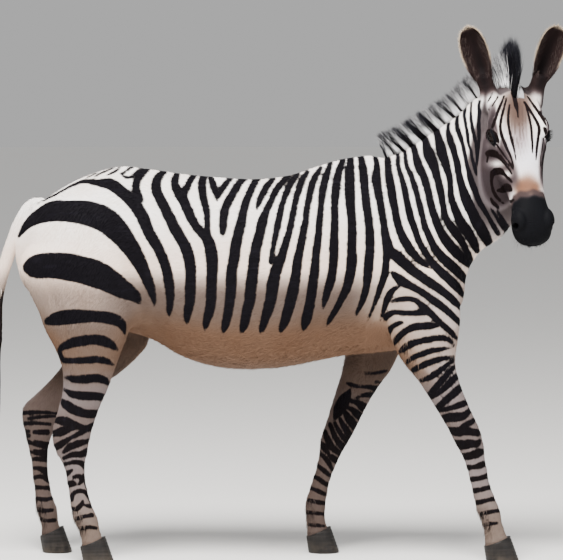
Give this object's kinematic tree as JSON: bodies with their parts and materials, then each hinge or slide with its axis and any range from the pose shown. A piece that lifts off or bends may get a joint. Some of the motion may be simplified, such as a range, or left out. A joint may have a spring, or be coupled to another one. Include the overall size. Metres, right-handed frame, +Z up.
{
  "type": "zebra",
  "caption": "Life-size mountain zebra in a slow walk with its head turned to its right, upright mane, large ears and tufted tail.",
  "frame": {"origin": "on the floor under the middle of the animal's outline, seen from above", "axes": "+X the way it walks, +Y its left side, +Z up"},
  "size_m": [1.8473, 0.6283, 1.7065],
  "materials": {
    "striped_coat": "short dense coat in dark and cream stripes",
    "ear_coat": "short coat, dark and hairy inside the ear",
    "hoof_horn": "satin horn",
    "eye": "wet and glossy",
    "long_hair": "coarse upright hair in bands"
  },
  "bodies": {
    "root": {"hindleg_right_upper": "striped_coat", "hindleg_right_lower": "striped_coat", "hindleg_right_hoof": "hoof_horn", "hindleg_left_upper": "striped_coat", "hindleg_left_lower": "striped_coat", "hindleg_left_hoof": "hoof_horn", "foreleg_right_upper": "striped_coat", "foreleg_right_lower": "striped_coat", "foreleg_right_hoof": "hoof_horn", "foreleg_left_upper": "striped_coat", "foreleg_left_lower": "striped_coat", "foreleg_left_hoof": "hoof_horn", "torso": "striped_coat", "neck": "striped_coat", "head": "striped_coat", "ear_left": "ear_coat", "eye_left": "eye", "ear_right": "ear_coat", "eye_right": "eye", "tail_dock": "striped_coat", "tail_brush": "long_hair", "mane": "long_hair", "forelock": "long_hair"}
  },
  "joints": []
}
